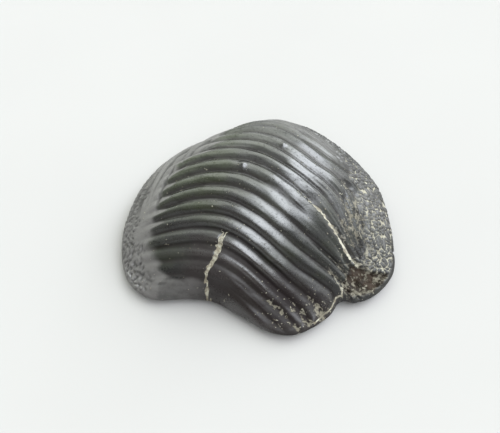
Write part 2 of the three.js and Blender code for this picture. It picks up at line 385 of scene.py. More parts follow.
belt_width = 1.6 + 3.2 * smooth(-0.2, 0.6, cosine)
belt_width += (1.0 + 0.8 * smooth(-0.6, 0, sine)) * smooth(0.2, 0.6, -cosine)
belt_width += 0.9 * smooth(0.75, 0.95, cosine) * smooth(-0.1, 0.1, sine)
in_front = 1 - smooth(-0.52, -0.4, sine + 0.42 * smooth(0, -0.5, cosine))
swelling = patch(x, number, *SWELLING)
scar = mound(x, y, *SCAR)
ridged = smooth(-16.6, -13.0, x) * smooth(-12.2, -10.8, coordinate - 0.25 * np.minimum(x, 0))
ridged *= 1 - 0.65 * smooth(13.4, 15.6, coordinate)
ridged *= smooth(0.25 * belt_width, 0.8 * belt_width + 0.5, inside + 4.5 * in_front)
ridged *= (1 - 0.9 * swelling) * (1 - 0.9 * scar)
print("ridges from", int(np.ceil(number[ridged > 0.5].min())), "to", int(number[ridged > 0.5].max()))

# %% [markdown]
# ## The relief of the ridges
#
# A ridge is round and the groove between two of them is sharp, so the depth grows as a power of the distance
# from the crest, with only a little of the cosine that would round the groove's floor. Two beads of enamel,
# one of them on the scar, and two low swellings at the right stand up between the ridges.

# %% Ridge relief
GROOVE_DEPTH = 0.5
BEADS = ((-3.9, 4.2, 0.22, 0.32), (0.2, 9.8, 0.15, 0.2))  # x, y, width squared, height
SWELLING_HEIGHT = 0.1
HUMP = ((8.6, 8.9), (1.7, 1.5))
HUMP_HEIGHT = 0.26

groove = (0.2 * np.sin(math.pi / 2 * off_crest) ** 2 + 0.8 * off_crest**2) * ridged
lower_in_front = 0.3 + 0.7 * smooth(-3.2, -0.6, number)
relief = -GROOVE_DEPTH * groove * lower_in_front * (1 + 0.12 * waves(0.4 * x, y, 6, 13))
for bead_x, bead_y, spread, bead_height in BEADS:
    relief += bead_height * np.exp(-((x - bead_x) ** 2 + (y - bead_y) ** 2) / spread)
relief += SWELLING_HEIGHT * swelling + HUMP_HEIGHT * mound(x, y, *HUMP)
print("deepest groove in mm:", round(float(-relief.min()), 2))

# %% [markdown]
# ## Polished crests
#
# Chewing has polished the crests, and a dull film is left in the grooves. So one mask says how far a point is
# polished: 1 on a crest, 0 in a groove. It is narrow on the front ridges, which touched little, weaker on the
# left and the right flank, and nearly full where there are no ridges.

# %% Polish
narrow_from = 0.1 + 0.65 * smooth(-2.6, 1.6, number + 0.12 * np.maximum(-x - 3, 0))
polish = 1 - smooth(narrow_from, narrow_from + 0.4, off_crest)
least = 0.2 + 0.25 * smooth(-5, -8, x)
polish = least + (polish - least) * smooth(-2.8, -1.8, number) * (1 - 0.3 * smooth(7.0, 8.2, number))
polish *= 1 - (0.45 + 0.25 * smooth(1, -1, number)) * smooth(3.5, 7, x) * smooth(4.6, 3.2, number)
polish *= 1 - 0.2 * smooth(-2, -8, x) * (1 + smooth(2.2, 0.5, number) * smooth(-3.0, -2.0, number))
polish = 1 + (polish - 1) * ridged
polish *= 1 - 0.5 * (1 - ridged) * smooth(6, 9, x)
print("polished share of the ridges", round(float(polish[ridged > 0.5].mean()), 2))

# %% [markdown]
# ## Small ridges between the large ones
#
# Thin ridges start in some of the grooves at the back, polished like the large ones. Fine threads run along
# all of them, and at the back right they split into ridgelets. A thin ridge is a narrow bell across the ridge
# number, let in and out along x. The threads are waves drawn out along the ridges, strongest on the crests,
# and the ridgelets are a plain sine of the ridge number.

# %% Fine ridges
THIN_RIDGES = ((5.6, 0.8, 8.8, 0.27), (6.55, 0.0, 8.0, 0.18), (7.5, 1.0, 9.0, 0.2), (8.5, 2.0, 9.0, 0.2))
THIN_WIDTH = 0.12  # in ridge numbers
THREAD_HEIGHT = 0.014
UNREST_HEIGHT = 0.012
RIDGELETS = 3.4  # for each ridge number

for middle, start, end, height in THIN_RIDGES:
    bell = np.exp(-(((number - middle) / THIN_WIDTH) ** 2))
    raised = bell * smooth(start, start + 2, x) * (1 - smooth(end - 2, end, x)) * ridged
    relief += height * raised
    polish = np.maximum(polish, 3.5 * height * raised)
threads = waves(0.12 * x, coordinate, 0.55, 21, 26) * (1 - 0.6 * groove) * smooth(0.2, 1.5, inside)
threads *= 1 - 0.85 * patch(x, number, (10.6, 3.65), (4.6, 0.75))
unrest = waves(0.5 * x, y, 1.7, 22) * smooth(0.2, 1.5, inside)
ridgelets = np.sin(FULL_TURN * RIDGELETS * number) * smooth(5, 9, x) * smooth(4.3, 5.1, number)
ridgelet_height = 0.05 + 0.08 * smooth(9, 12, x)
groove = np.maximum(groove, 0.7 * smooth(0.2, -0.6, ridgelets) * smooth(9, 12, x))
fine = THREAD_HEIGHT * threads * smooth(-17.5, -14, x)
fine += UNREST_HEIGHT * unrest * ridged
fine += ridgelet_height * ridgelets * ridged
relief += fine
print("thread height in mm:", round(float(THREAD_HEIGHT * threads.std()), 3))

# %% [markdown]
# ## The lumpy belt
#
# Towards the rim the enamel breaks up. At the right it is a mosaic of granules not quite a millimetre across,
# packed like cobbles. Small meshes strewn over it would gape and overlap, so the granules are cells, which
# fill their place. They are counted round the rim, so that they follow it and close on themselves. At the
# left and the back the same cells only swell the surface. A dark smooth lip runs along the lower right edge.

# %% Belt granules
GRANULE_COUNT = 168  # granules round the whole rim
GRANULE_WIDTH = 0.68
GRANULE_HEIGHT = 0.28

sway = 0.35 * waves(x, y, 2.4, 31)
round_count = angle / FULL_TURN % 1.0 * GRANULE_COUNT + 0.5 * inside + sway
_, gap, luck = cells(round_count, inside / GRANULE_WIDTH + 0.5 * sway, 32, GRANULE_COUNT)
joint_gap = gap * GRANULE_WIDTH
at_left = smooth(0.1, 0.5, -cosine)
at_right = smooth(0.3, 0.6, cosine) * (1 - smooth(0.5, 0.92, sine))
at_back_right = smooth(0.05, 0.4, cosine) * smooth(0.4, 0.7, sine)
at_back = smooth(0.6, 0.85, sine)
upper = smooth(-0.45, -0.1, sine)
ragged = inside + 0.5 * waves(x, y, 3.0, 34)
in_belt = (1 - smooth(0.8 * belt_width, belt_width + 0.5, ragged)) * (1 - in_front)
dark_lip = (1 - smooth(0.35, 0.6, inside)) * (1 - smooth(-0.05, 0.1, sine))
granules = in_belt * at_right * (1 - dark_lip)
bulge = GRANULE_HEIGHT * (smooth(0.0, 0.3, joint_gap) - 0.65 + 0.3 * (luck - 0.5))
lumps = in_belt * np.maximum(0.7 * at_left * (1 - 0.5 * upper), 0.45 * at_back)
print("belt covers", round(float(in_belt.mean()), 2), "of the crown")

# %% [markdown]
# ## Slits and pits
#
# At the left the belt is drawn out along the rim into short slits, and its front part is fine pits. Both are
# waves of which only the highest parts count: drawn out along the rim they give slits, and left alone they
# give pits. Longer slits lie past the grey band of wear and painted sheen, and beyond the last ridges at the
# back. At the right ends of the upper ridges the enamel frays in the direction of the ridges, so there the
# waves follow them.

# %% Slits and pits
SLIT_DEPTH = 0.2
BAND_BEND = 0.0007  # the worn band's edge bends out by this much times y⁴

round_rim = angle % FULL_TURN * REACH
band_bend = BAND_BEND * np.clip(y + 2.2, -9, 9) ** 4
slits = smooth(0.3, 1.3, waves(0.05 * round_rim, inside, 0.66, 33, 30))
long_slits = smooth(0.1, 1.0, waves(0.09 * round_rim, inside, 1.25, 38, 30)) * smooth(0.6, 1.4, inside)
pits = smooth(0.3, 1.2, waves(round_rim, inside, 0.6, 35, 30))
pitted = in_belt * (at_left * (slits * upper + pits * (1 - upper)) + 0.7 * pits * at_back)
lip_pits = np.exp(-(((inside - 1.75) / 0.17) ** 2)) * smooth(-0.1, 0.5, waves(round_rim, 0 * x, 0.9, 36))
pitted = np.maximum(pitted, lip_pits * smooth(0.3, 0.5, -cosine) * (1 - smooth(-0.7, -0.55, sine)))
past_band = smooth(-13.6, -15.2, x - band_bend) * smooth(-5, -2, y) * smooth(17, 13, y)
beyond_ridges = at_back_right * smooth(8.2, 8.8, number) * smooth(8, 6, inside)
pitted = np.maximum(pitted, long_slits * np.maximum(1.1 * past_band, 0.8 * beyond_ridges))
frayed = smooth(8.0, 10.5, x) * smooth(5.6, 6.6, number) * smooth(9.5, 7.5, inside) * (1 - in_belt)
frays = smooth(0.1, 1.1, waves(0.25 * x, coordinate, 0.9, 52, 26)) * frayed
pitted = np.maximum(pitted, 0.8 * frays)
groove = np.maximum(groove, 0.9 * frays)
relief += (bulge * (granules + lumps) - SLIT_DEPTH * pitted) * smooth(0.05, 0.5, inside + 0.2)
polish *= 1 - 0.15 * granules - 0.4 * pitted - 0.5 * dark_lip * at_right
polish *= 1 - 0.5 * smooth(9.5, 12.5, x) * smooth(1, 4, y) * (1 - granules)
print("pitted share", round(float((pitted > 0.5).mean()), 3))

# %% [markdown]
# ## Cracks
#
# Two cracks run through the enamel and are packed with pale sediment, with a fork and two thin lines beside
# them. A cut in the mesh would need edges of its own. A distance needs none, and stored on the mesh it gives
# the finish the same line. It is counted from a chain of points with a half width at each. Along the chipped
# front edge the pale line follows the rim, so there it is the distance to a line a little way inside it.

# %% Cracks
LONG_CRACK = ((-3.6, -5.2, 0.1), (-3.5, -5.8, 0.26), (-3.4, -6.5, 0.32), (-3.4, -7.1, 0.38),
              (-3.7, -7.9, 0.35), (-4.2, -8.8, 0.32), (-4.3, -9.4, 0.22), (-4.1, -10.3, 0.19),
              (-3.7, -11.2, 0.19), (-3.3, -12.2, 0.22))
FORK = ((-3.5, -5.7, 0.1), (-3.1, -4.9, 0.07), (-2.9, -4.6, 0.02))
FORK_LEFT = ((-3.5, -5.3, 0.1), (-3.8, -4.8, 0.05), (-3.9, -4.5, 0.0))
SIDE_CRACK = ((4.7, 3.65, 0.04), (5.9, 3.5, 0.09), (7.0, 3.3, 0.12), (8.2, 2.95, 0.2), (9.5, 2.45, 0.2),
              (10.4, 2.05, 0.24), (11.6, 1.45, 0.22), (12.9, 0.45, 0.26), (14.2, 0.0, 0.24),
              (15.6, -0.1, 0.28))
SHORT_CRACK = ((10.2, -2.6, 0.0), (11.2, -2.8, 0.03), (12.4, -3.0, 0.06), (13.4, -3.7, 0.08),
               (14.2, -4.1, 0.1))
BREAK_LINE = ((14.5, -0.9, 0.05), (14.45, -2.2, 0.09), (14.35, -3.6, 0.12), (14.3, -4.7, 0.12))
CRACK_DEPTH = 0.1
CHIP_INSET = 0.3  # the chipped edge's line lies this far inside the rim
CHIP_HALF = 0.07

jag_x = x + 0.09 * waves(x, y, 0.7, 41) + 0.06 * waves(x, y, 2.1, 42)
jag_y = y + 0.09 * waves(x, y, 0.7, 43) + 0.06 * waves(x, y, 2.1, 44)
crack_gap = np.minimum.reduce([near_line(jag_x, jag_y, line) for line in (
    LONG_CRACK, FORK, FORK_LEFT, SIDE_CRACK, SHORT_CRACK, BREAK_LINE)])
chipped = smooth(9.0, 12.0, x) * smooth(-4.0, -4.8, y) * (x < 16)
chip_gap = np.abs(inside - CHIP_INSET + 0.04 * waves(x, y, 1.2, 49)) - CHIP_HALF + 2 * (1 - chipped)
crack_gap = np.minimum(crack_gap, chip_gap)
relief -= CRACK_DEPTH * (1 - smooth(-0.1, 0.12, crack_gap))
print("crack points", int((crack_gap < 0).sum()))

# %% [markdown]
# ## The broken corner
#
# The front right corner has lost its enamel, so that the dull core shows a step lower. An upright line and a
# sloping one bound it, and both wander like the cracks. Its floor is rough from waves of three lengths, and
# cells with flat tops stand in it like splinters.

# %% Broken corner
BREAK_CORNER = (14.3, -0.7)
BREAK_SLOPE = 0.4  # rise of its upper edge for each millimetre to the right
BREAK_DEPTH = 0.8
SPLINTER_WIDTH = 0.9
SPLINTER_HEIGHT = 0.15

past_side = smooth(0, 0.35, jag_x - BREAK_CORNER[0])
below_edge = smooth(0, 0.4, BREAK_CORNER[1] - jag_y + BREAK_SLOPE * (jag_x - BREAK_CORNER[0]))
broken = past_side * below_edge * smooth(0.35, 0.6, inside + 0.08 * waves(x, y, 1.1, 40))
splinter_x = x / SPLINTER_WIDTH + 0.3 * waves(x, y, 1.5, 45)
_, _, splinter_luck = cells(splinter_x, y / SPLINTER_WIDTH, 46)
rough = 0.16 * waves(x, y, 1.3, 47) + 0.04 * waves(x, y, 0.55, 48)
rough += SPLINTER_HEIGHT * (splinter_luck - 0.5)
rough += 0.06 * waves(x, y, 0.9, 50)
relief = relief * (1 - broken) + broken * (rough - BREAK_DEPTH * smooth(0.3, 1.2, inside))
polish *= 1 - 0.85 * broken
print("broken points", int((broken > 0.5).sum()))

# %% [markdown]
# ## Where sediment stays
#
# Pale sediment stays where a brush doesn't reach: at the right ends of the grooves, between granules, and on
# the broken corner. A few soft patches say where, and the finish breaks them up.

# %% Dust
DUST = (((12.2, -8.2), (3.2, 3.0), 1.0), ((8.4, -10.6), (4.4, 2.2), 1.0), ((14.2, -2.0), (3.6, 3.2), 0.85),
        ((17.4, 3.2), (2.6, 4.6), 1.0), ((13.2, 5.0), (3.0, 4.4), 1.15), ((15.6, 10.4), (2.2, 3.6), 0.55),
        ((6.5, 19.8), (5.0, 1.4), 0.3), ((-18.6, -4.0), (1.6, 7.0), 0.3), ((18.6, -2.0), (2.0, 2.0), 0.7))

dust = np.zeros(x.shape)
for place, half, share in DUST:
    dust = np.maximum(dust, share * patch(x, y, place, half))
dust = np.maximum(dust, np.maximum(0.65 * granules, 0.75 * frayed))
print("dusty share", round(float(dust.mean()), 3))

# %% [markdown]
# ## Worn enamel and painted sheen
#
# Round the left end lies a grey band: enamel worn to grey, and painted sheen, the reflection of the pale
# floor and sky on the steep side laid into its colour. Its edge is a curve, blurred over a millimetre, and
# tongues of it reach in beside the crests. A lip of the same grey, mostly a painted reflection of the floor,
# runs round the front left and widens to the left, where both are duller. The back edge and one place at
# the front are worn a little, and the granules get a painted sheen of the same grey, stronger at the back.

# %% Worn enamel and painted sheen
BAND_EDGE = -14.6

tongues = 1.9 * smooth(-1.8, 0.6, number) * np.exp(-(((across_ridge - 0.4) / 0.4) ** 2)) * ridged
band_blend = 0.5 + 0.7 * smooth(-5, -9, y)
past_edge = x - (BAND_EDGE + band_bend) - tongues + 0.2 * waves(0.3 * x, y, 1.6, 51)
# This grey is partly wear and partly painted sheen: the reflection of the pale floor and sky, laid into the
# colour.
wear_and_sheen = smooth(band_blend, -band_blend, past_edge)
# The lip's grey is mostly a painted reflection of the floor.
lip_width = 0.35 + 1.0 * smooth(-2, -7, x) + 1.2 * smooth(-7, -10.5, x)
lip_wear_and_sheen = (0.12 + 0.5 * smooth(-2, -7, x)) * (1 - smooth(lip_width, lip_width + 0.5, inside))
at_back_edge = smooth(8.3, 9.2, number) * (1 - 0.7 * smooth(10, 11, number)) * smooth(-8, -2, x)
wear_and_sheen = np.maximum(wear_and_sheen, 0.38 * at_back_edge * (1 - smooth(0.85, 0.96, cosine)) * (1 - 0.8 * granules))
wear_and_sheen = np.maximum(wear_and_sheen, lip_wear_and_sheen)
# On the granules the grey is painted sheen, stronger towards the back.
wear_and_sheen = np.maximum(wear_and_sheen, (0.12 + 0.36 * smooth(2, 9, y)) * granules)
wear_and_sheen = np.maximum(wear_and_sheen, 0.12 * patch(x, y, (-5, -7.5), (6, 3)))
# At the far left the grey is lifted a fifth more, as painted sheen, and the polish is lowered.
dull = smooth(-8, -12, x) * wear_and_sheen
wear_and_sheen = wear_and_sheen * (1 + 0.2 * dull)
polish *= (1 - 0.3 * dull) * (1 - 0.6 * smooth(10.6, 12.2, number))
print("worn share", round(float(wear_and_sheen.mean()), 3))

# %% [markdown]
# ## A tint with two signs, and painted green sheen
#
# The black leans to olive at the left and on the swelling, and to brown along the front. At the left the
# olive is a painted reflection of the green surroundings; on the swelling it is a tone of the enamel. One
# number holds both: above nothing it is olive, and below it brown.

# %% Tint and painted green sheen
# Olive at the left: painted green reflection. Olive on the swelling and brown at the front: the enamel's
# tone.
tint_and_green_sheen = 0.75 * smooth(-2, -8, x) * smooth(-7, -2, y) + 0.4 * patch(x, number, (9.0, 3.6), (4.5, 1.4))
tint_and_green_sheen = tint_and_green_sheen * (1 - 0.7 * groove) - 0.75 * smooth(-4, -7.5, y) * smooth(-9, -6, x)
print("tint from", round(float(tint_and_green_sheen.min()), 2), "to", round(float(tint_and_green_sheen.max()), 2))

# %% [markdown]
# ## From grid to mesh
#
# A piece is the grid's points, the quads between them, and a fan of faces that closes the border to one point
# inside, out of sight. The masks go onto the mesh as attributes, so that the finish can read them by name.

# %% Mesh helpers
def disc_faces(side, turned_over=False):
    """Quads of a square grid, then a fan from its border to one extra point; turned over for a base."""
    index = np.arange(side * side).reshape(side, side)
    quads = np.stack([index[:-1, :-1], index[1:, :-1], index[1:, 1:], index[:-1, 1:]], axis=-1).reshape(-1, 4)
    border = np.concatenate([index[:-1, 0], index[-1, :-1], index[:0:-1, -1], index[0, :0:-1]])
    fan = np.stack([np.roll(border, -1), border, np.full(border.size, side * side)], axis=-1)
    if turned_over:
        quads, fan = quads[:, ::-1], fan[:, ::-1]
    return quads.tolist() + fan.tolist()


def make_piece(name, points, closing_point, turned_over, marks):
    """A mesh from grid points in mm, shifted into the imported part's box, with the marks as attributes."""
    shift = np.array([*plan_shift, 0.0])
    whole = np.vstack([points.reshape(-1, 3), closing_point]) + shift
    mesh = bpy.data.meshes.new(name)
    mesh.from_pydata((whole * MM).tolist(), [], disc_faces(points.shape[0], turned_over))
    for mark, values in marks.items():
        layer = mesh.attributes.new(mark, "FLOAT", "POINT")
        values = np.append(values.ravel(), values.ravel()[-1])
        layer.data.foreach_set("value", values.astype(np.float32))
    mesh.shade_smooth()
    piece = bpy.data.objects.new(name, mesh)
    bpy.context.scene.collection.objects.link(piece)
    print(name, "has", len(mesh.polygons), "faces, box", np.round(np.ptp(whole, axis=0), 2), "mm")
    return piece


print("mesh helpers ready")

# %% [markdown]
# ## The crown
#
# The relief is added along the plain crown's own direction outwards, so that a groove is as deep on the steep
# flank as on top. At the rim it is let out, so that the outline stays as drawn, and only a trace of it goes
# on under the lip.

# %% Build the crown
UNDER_LIP = 0.15  # share of the relief that goes on under the lip
CLOSING_HEIGHT = 0.3  # of the closing point, over the rim or the root's top

kept_relief = np.maximum(smooth(0.0, 0.25, inside), UNDER_LIP * (under < 0.5))
crown_points = plain + outward * (relief * kept_relief)[..., None]
crown = make_piece("tooth_crown", crown_points, (*DOME_TOP, RIM_HEIGHT + CLOSING_HEIGHT), False, {
    "crack_gap": np.clip(crack_gap, -1, 1),
    "joint_gap": np.clip(joint_gap, 0, 1),
    "groove": groove,
    "polish": polish,
    "belt": granules * (1 - broken),
    "pitted": pitted,
    "broken": broken,
    "dust": dust,
    "wear_and_sheen": wear_and_sheen,
    "tint_and_green_sheen": tint_and_green_sheen,
})

# %% [markdown]
# ## The root's shape
#
# Under the crown sits a lower, narrower root of porous bone with a flat base, drawn in at its middle into two
# lobes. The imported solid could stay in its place, but its wall is plain. So it is the same kind of grid,
# counted from the middle of the base outwards. After the base come a rounded edge, the wall, which flares
# out a little, and a last stretch that runs out under the crown.

# %% Root shape
ROOT_SIDE = 261
ROOT_MIDDLE = (-0.3, 3.6)
ROOT_HALF = (14.0, 11.6)
ROOT_WAIST = 0.2
ROOT_TOP = 1.3
ROOT_FLARE = 0.5
ROOT_BEVEL = 0.35
CROWN_OVERHANG = 0.15  # the root ends this much inside the crown's undercut
AT_EDGE = 0.62  # shares of the disc's radius at the base's edge, wall foot, neck and crown
AT_WALL = 0.66
AT_NECK = 0.76
AT_CROWN = 0.97


def root_plan(angle, inset):
    """Ellipse drawn in towards the middle of its long sides by waist · sin⁴."""
    waist = 1 - ROOT_WAIST * np.sin(angle) ** 4
    return np.stack([ROOT_MIDDLE[0] + (ROOT_HALF[0] - inset) * np.cos(angle),
                     ROOT_MIDDLE[1] + (ROOT_HALF[1] - inset) * waist * np.sin(angle)], axis=-1)


def between(start, end, value):
    """0 at start, 1 at end, straight in between."""
    return np.clip((value - start) / (end - start), 0, 1)


root_ring, root_angle = square_to_disc(ROOT_SIDE)
crown_reach = rim_radius(root_angle) - rim_chips(root_angle) - UNDERCUT_INSET - CROWN_OVERHANG
crown_edge = np.stack([DOME_TOP[0] + crown_reach * np.cos(root_angle),
                       DOME_TOP[1] + crown_reach * np.sin(root_angle)], axis=-1)
bevel = between(AT_EDGE, AT_WALL, root_ring)
wall = between(AT_WALL, AT_NECK, root_ring)
out = between(AT_NECK, AT_CROWN, root_ring)
last = between(AT_CROWN, 1, root_ring)
flare = ROOT_FLARE * wall**2
lobe = root_plan(root_angle, ROOT_BEVEL * (1 - np.sin(bevel * math.pi / 2)) - flare)
centre = np.array(ROOT_MIDDLE)
on_base = centre + (lobe - centre) * between(0, AT_EDGE, root_ring)[..., None]
plan = np.where((root_ring < AT_EDGE)[..., None], on_base, lobe)
plan = plan * (1 - out[..., None]) + crown_edge * out[..., None]
height = ROOT_BEVEL * (1 - np.cos(bevel * math.pi / 2)) + (ROOT_TOP - ROOT_BEVEL) * wall
height += -0.18 * smooth(0.2, 1, out) + 0.25 * last
root_plain = np.concatenate([plan, height[..., None]], axis=-1)
root_out = -normals_of(root_plain)
print("root base about", round(2 * ROOT_HALF[0], 1), "by", round(2 * ROOT_HALF[1], 1), "mm")

# %% [markdown]
# ## The root's bone
#
# Bone is coarser than enamel. Some of its cells are pores, upright flutes stand round the wall as a cosine
# of the direction, and half-way up is a row of holes that let vessels in. The base stays flat but for
# shallow hollows, so that the tooth lies still.

# %% Build the root
PORE_WIDTH = 0.8
PORE_LUCK = 0.45  # cells with more luck than this are pores
PORE_DEPTH = 0.14
FLUTE_COUNT = 46
FLUTE_HEIGHT = 0.07
HOLE_COUNT = 13
HOLE_DEPTH = 0.35
HOLLOW_DEPTH = 0.03

u, v = plan[..., 0], plan[..., 1]
pore_away, _, pore_luck = cells(u / PORE_WIDTH + 0.2 * waves(u, v, 2, 61), v / PORE_WIDTH, 62)
pore = (1 - smooth(0.12, 0.3, pore_away)) * (pore_luck > PORE_LUCK)
flutes = np.cos(FLUTE_COUNT * root_angle + 1.2 * waves(u, v, 5, 63)) * np.sin(math.pi * wall)
round_wall = np.sin(HOLE_COUNT * root_angle + 0.8 * waves(u, v, 6, 64))
holes = np.exp(-(((round_wall - 1) / 0.12) ** 2)) * np.exp(-(((wall - 0.5) / 0.3) ** 2))
bone = 0.05 * waves(u, v, 1.1, 65) + 0.03 * waves(u, v, 0.5, 66)
off_base = smooth(AT_EDGE - 0.02, AT_WALL, root_ring)
root_relief = off_base * (bone + FLUTE_HEIGHT * flutes - HOLE_DEPTH * holes)
root_relief = root_relief - PORE_DEPTH * pore * (0.5 + 0.5 * off_base)
root_relief -= (1 - off_base) * HOLLOW_DEPTH * smooth(0, 1, waves(u, v, 0.9, 67))
root_relief *= 1 - last
root_points = root_plain + root_out * root_relief[..., None]
root_points[..., 2] = np.maximum(root_points[..., 2], 0)
root = make_piece("tooth_root", root_points, (*ROOT_MIDDLE, ROOT_TOP + CLOSING_HEIGHT), True, {
    "pore": np.maximum(pore, holes),
})

# %% [markdown]
# ## Finishes as sums
#
# A procedural finish is mostly arithmetic on masks. Writing it as nodes by hand hides the sum, so a small
# class stands for one output socket: adding, taking away or multiplying two of them adds the Math node.

# %% Socket arithmetic
class Mark:
    """One output socket of a finish. Arithmetic on it adds Math nodes."""

    def __init__(self, finish, socket):
        self.finish = finish
        self.socket = socket

    def maths(self, operation, *values):
        """A Math node on these values."""
        node = self.finish.add("ShaderNodeMath", {"operation": operation}, dict(enumerate(values)))
        return Mark(self.finish, node.outputs[0])

    def __add__(self, other):
        return self.maths("ADD", self, other)

    def __mul__(self, other):
        return self.maths("MULTIPLY", self, other)

    def __sub__(self, other):
        return self.maths("SUBTRACT", self, other)

    def __rsub__(self, other):
        return self.maths("SUBTRACT", other, self)

    __radd__ = __add__
    __rmul__ = __mul__

    def most(self, other):
        """The larger of the two."""
        return self.maths("MAXIMUM", self, other)

    def step(self, low, high):
        """0 at low, 1 at high, eased in between; low may be the larger."""
        node = self.finish.add("ShaderNodeMapRange", {"interpolation_type": "SMOOTHSTEP"},
                               {"Value": self, "From Min": low, "From Max": high})
        return Mark(self.finish, node.outputs["Result"])


print("socket arithmetic ready")

# %% [markdown]
# ## The other nodes
#
# A colour can't go through a Math node, which would turn it grey. Every node that isn't a sum comes from one
# method, which takes the node's type, its settings and what goes into its sockets. The ones that come often,
# such as noise, a colour mix and a bump, get a short name on top of it.

# %% Finish
class Finish:
    """The nodes of a material or a world, built from marks."""

    def __init__(self, owner, place="Object"):
        owner.use_nodes = True
        self.owner = owner
        self.tree = owner.node_tree
        self.tree.nodes.clear()
        self.place = Mark(self, self.add("ShaderNodeTexCoord").outputs[place])

    def add(self, kind, settings=None, sockets=None):
        """A node of that kind: its settings first, then a value or a link for each socket."""
        node = self.tree.nodes.new(kind)
        for name, value in (settings or {}).items():
            setattr(node, name, value)
        for name, value in (sockets or {}).items():
            if isinstance(value, Mark):
                self.tree.links.new(value.socket, node.inputs[name])
            else:
                node.inputs[name].default_value = value
        return node

    def mark(self, name):
        """A value stored on the mesh."""
        return Mark(self, self.add("ShaderNodeAttribute", {"attribute_name": name}).outputs["Fac"])

    def noise(self, per_metre, detail=3.0, roughness=0.55, stretch=None):
        """Noise of that many lumps to a metre, squeezed by `stretch` along each axis if it is given."""
        where = self.place
        if stretch:
            mapping = self.add("ShaderNodeMapping", None, {"Vector": where, "Scale": stretch})
            where = Mark(self, mapping.outputs["Vector"])
        node = self.add("ShaderNodeTexNoise", None, {
            "Vector": where, "Scale": per_metre, "Detail": detail, "Roughness": roughness})
        return Mark(self, node.outputs["Fac"])

    def mix(self, share, first, second):
        """Colour that goes from first to second."""
        node = self.add("ShaderNodeMix", {"data_type": "RGBA"}, {0: share, 6: first, 7: second})
        return Mark(self, node.outputs[2])

    def bump(self, height, distance, strength, below=None):
        """Shading as if the surface rose by height times distance."""
        sockets = {"Height": height, "Distance": distance, "Strength": strength}
        if below:
            sockets["Normal"] = below
        return Mark(self, self.add("ShaderNodeBump", None, sockets).outputs["Normal"])

    def shader(self, sockets):
        """A principled shader."""
        return Mark(self, self.add("ShaderNodeBsdfPrincipled", None, sockets).outputs["BSDF"])

    def surface(self, shader):
        """The output, and the finished material."""
        self.add("ShaderNodeOutputMaterial", None, {"Surface": shader})
        return self.owner


print("finish tools ready")

# %% [markdown]
# ## Enamel: what it is made from
#
# Fossil enamel is almost black and polished by wear. What makes it look real is what breaks that: fine grain,
# scratches along the ridges, a dull film in the grooves, and cream sediment with a rough edge. Painted by
# hand, all that would blur close up. So the masks on the mesh say where, and noise of several sizes says how
# much, which also hides the masks' smooth edges.

# %% Enamel masks and noise
enamel = Finish(bpy.data.materials.new("fossil_enamel"))
crack, joint = enamel.mark("crack_gap"), enamel.mark("joint_gap")
groove_mark, belt_mark = enamel.mark("groove"), enamel.mark("belt")
polish_mark, pitted_mark = enamel.mark("polish"), enamel.mark("pitted")
broken_mark, dust_mark = enamel.mark("broken"), enamel.mark("dust")
wear_and_sheen_mark, tint_and_green_sheen_mark = enamel.mark("wear_and_sheen"), enamel.mark("tint_and_green_sheen")
soft_cloud = enamel.noise(260, 3)
fine_grain = enamel.noise(3200, 3, 0.6)
crumbs = enamel.noise(1500, 4, 0.65)
flecks = enamel.noise(2600, 2, 0.5)
clumps = enamel.noise(700, 4, 0.7)
scratches = enamel.noise(900, 3, 0.6, (0.12, 1.0, 1.0))
print("nodes so far:", len(enamel.tree.nodes))

# %% [markdown]
# ## Enamel: sediment
#
# Sediment packs the cracks and the joints between granules, lies loose in dusty grooves and on the broken
# core, and is left as single specks. Each is a mask roughened by noise, and the largest of them counts. Loose
# dust is kept apart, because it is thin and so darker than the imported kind.

# %% Enamel sediment
crack_fill = (crack + 0.1 * (crumbs - 0.5)).step(0.05, -0.02)
dusty = (dust_mark + 0.8 * (soft_cloud - 0.5)).step(0.15, 0.5)
joint_fill = (joint + 0.14 * (crumbs - 0.5)).step(0.148, 0.06) * belt_mark * dusty
groove_fill = ((0.5 * groove_mark + 0.24) * dust_mark + 2.0 * (clumps - 0.5)).step(0.5, 0.62)
groove_fill = groove_fill * crumbs.step(0.45, 0.55) * (1.0 - 0.7 * belt_mark)
core_fill = broken_mark * (0.5 * crumbs + 0.5 * clumps).step(0.5, 0.58) * 0.75
speck = (flecks + 0.06 * dust_mark * (1.0 - belt_mark)).step(0.7, 0.75) * 0.8
loose = groove_fill.most(core_fill)
sediment = crack_fill.most(joint_fill).most(groove_fill).most(core_fill).most(speck)
print("nodes so far:", len(enamel.tree.nodes))

# %% [markdown]
# ## Enamel: colour
#
# The colour is laid on in coats: black with a little olive, which at the left is a painted green reflection,
# brown along the front, the grey of worn enamel and painted sheen, black again in joints and pits, rusty
# clouds on the broken core, and the sediment last.

# %% Enamel colour
BLACK = (0.005, 0.0052, 0.005, 1)
# Olive: the enamel's own tone at random, and at the left a painted green reflection.
OLIVE_TONE_AND_SHEEN = (0.0105, 0.0145, 0.0035, 1)
BROWN = (0.0105, 0.0066, 0.0068, 1)
# Grey of worn enamel, and painted sheen: the reflection of the pale floor and sky.
WEAR_AND_SHEEN_GREY = (0.098, 0.094, 0.091, 1)
CREAM = (0.32, 0.305, 0.245, 1)
LOOSE = (0.13, 0.118, 0.092, 1)
RUST = (0.026, 0.017, 0.011, 1)
TAN = (0.14, 0.122, 0.09, 1)
CORE = (0.014, 0.010, 0.007, 1)

# Random olive tone in the black, and at the left the painted green reflection.
olive_and_green_sheen_share = (tint_and_green_sheen_mark + soft_cloud - 0.5).step(0.1, 0.9).most(0.4 * soft_cloud.step(0.4, 0.7))
colour = enamel.mix(olive_and_green_sheen_share, BLACK, OLIVE_TONE_AND_SHEEN)
colour = enamel.mix((0.0 - tint_and_green_sheen_mark).most(0.5 * groove_mark.step(0.25, 1.0)), colour, BROWN)
